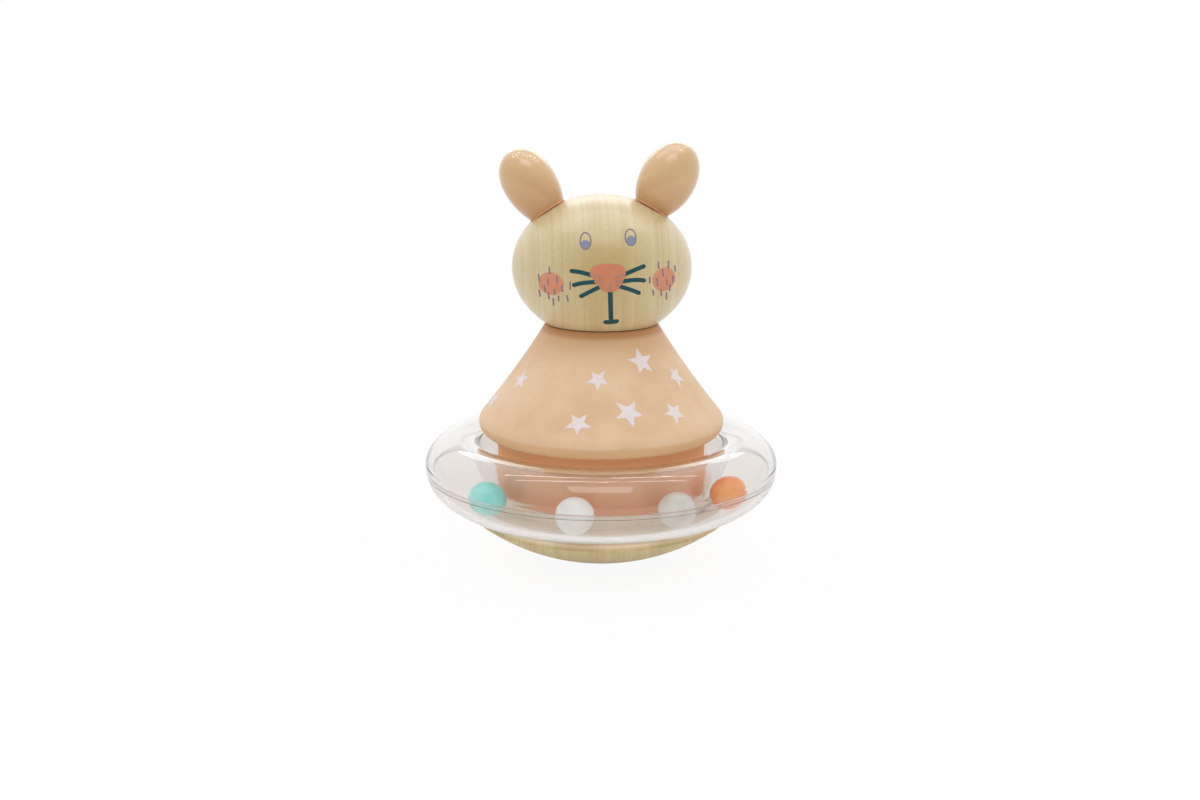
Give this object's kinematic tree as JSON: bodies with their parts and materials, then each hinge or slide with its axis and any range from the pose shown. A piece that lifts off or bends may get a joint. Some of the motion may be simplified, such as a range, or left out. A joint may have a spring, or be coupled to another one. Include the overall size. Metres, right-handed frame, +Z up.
{
  "type": "roly poly toy",
  "caption": "Wooden mouse figure on a weighted round base that rocks upright, with a clear spinning ring of loose coloured balls round its hub.",
  "frame": {"origin": "centre of the small flat under the base, on the surface that the toy stands on", "axes": "+Z up along the turned axis; the painted face looks along -Y; +X to the viewer's right of the face"},
  "size_m": [0.078, 0.078, 0.0918],
  "materials": {
    "natural_wood": "sanded, clear satin varnish",
    "peach_paint": "satin peach paint on turned wood, grain faintly showing",
    "dowel_wood": "raw",
    "ballast_steel": "plain turned steel",
    "clear_plastic": "clear, polished",
    "teal_plastic": "gloss",
    "white_plastic": "gloss",
    "pearl_plastic": "pearly, half clear",
    "orange_plastic": "gloss"
  },
  "bodies": {
    "toy": {"head": "natural_wood", "left_ear": "peach_paint", "right_ear": "peach_paint", "left_ear_dowel": "dowel_wood", "right_ear_dowel": "dowel_wood", "neck_dowel": "dowel_wood", "body": "peach_paint", "base_dowel": "dowel_wood", "base": "natural_wood", "ballast": "ballast_steel"},
    "ring": {"ring_upper_shell": "clear_plastic", "ring_lower_shell": "clear_plastic"},
    "teal_ball": {"ball_teal": "teal_plastic"},
    "white_ball": {"ball_white": "white_plastic"},
    "pearl_ball": {"ball_pearl": "pearl_plastic"},
    "orange_ball": {"ball_orange": "orange_plastic"}
  },
  "joints": [
    {"name": "ring_spin", "type": "hinge", "parent": "toy", "child": "ring", "pos_m": [0, 0, 0.018], "axis": [0, 0, 1], "continuous": true},
    {"name": "teal_run", "type": "hinge", "parent": "ring", "child": "teal_ball", "pos_m": [0, 0, 0.0179], "axis": [0, 0, 1], "range_deg": [-108, 12]},
    {"name": "white_run", "type": "hinge", "parent": "ring", "child": "white_ball", "pos_m": [0, 0, 0.0179], "axis": [0, 0, 1], "range_deg": [-12, 12]},
    {"name": "pearl_run", "type": "hinge", "parent": "ring", "child": "pearl_ball", "pos_m": [0, 0, 0.0179], "axis": [0, 0, 1], "range_deg": [-12, 7]},
    {"name": "orange_run", "type": "hinge", "parent": "ring", "child": "orange_ball", "pos_m": [0, 0, 0.0179], "axis": [0, 0, 1], "range_deg": [-8, 125]}
  ]
}
